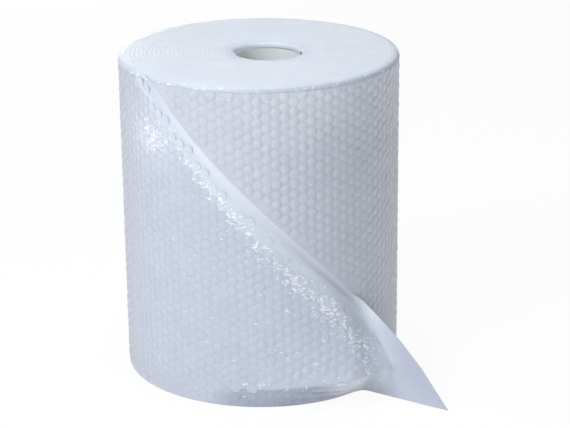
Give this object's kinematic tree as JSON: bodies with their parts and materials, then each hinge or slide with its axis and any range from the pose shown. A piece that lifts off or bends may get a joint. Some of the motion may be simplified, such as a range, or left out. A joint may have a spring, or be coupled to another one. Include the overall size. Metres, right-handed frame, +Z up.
{
  "type": "bubble wrap roll",
  "caption": "Coreless roll of clear bubble wrap standing on end, with its loose outer end cut on a slant and pulled out to a tip on the floor.",
  "frame": {"origin": "on the centre hole's axis at the floor", "axes": "+Z up along the hole's axis, -Y towards the side where the loose end lies"},
  "size_m": [0.3991, 0.3631, 0.4],
  "materials": {
    "film": "glossy"
  },
  "bodies": {
    "root": {"bubble_wrap_roll": "film"}
  },
  "joints": []
}
